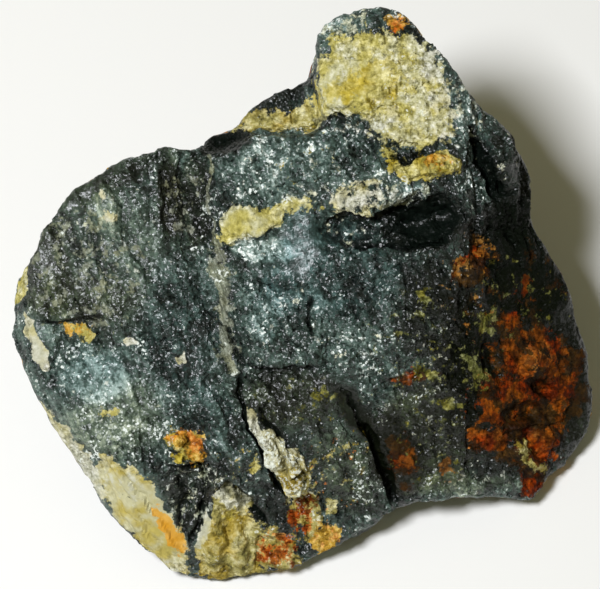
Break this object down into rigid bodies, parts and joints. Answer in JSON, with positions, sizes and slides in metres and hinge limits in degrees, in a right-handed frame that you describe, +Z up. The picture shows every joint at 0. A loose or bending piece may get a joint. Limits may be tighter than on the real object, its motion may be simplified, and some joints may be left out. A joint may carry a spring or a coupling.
{
  "type": "rough tourmaline rock",
  "caption": "Palm-sized rough black tourmaline: an angular broken chunk with a high peak at the back, a deep ledge, splintery cracks and pale and rusty matrix left on it.",
  "frame": {"origin": "on the resting plane, under the middle of the rock's box", "axes": "+Z up from the flat base, -Y towards the low front edge, +Y towards the high peak at the back, +X towards the rusty right-hand flank"},
  "size_m": [0.0882, 0.076, 0.0504],
  "materials": {
    "tourmaline": "rough broken black mineral, glittering in small grains, with cream, ochre and rusty matrix"
  },
  "bodies": {
    "root": {"tourmaline_rock": "tourmaline"}
  },
  "joints": []
}
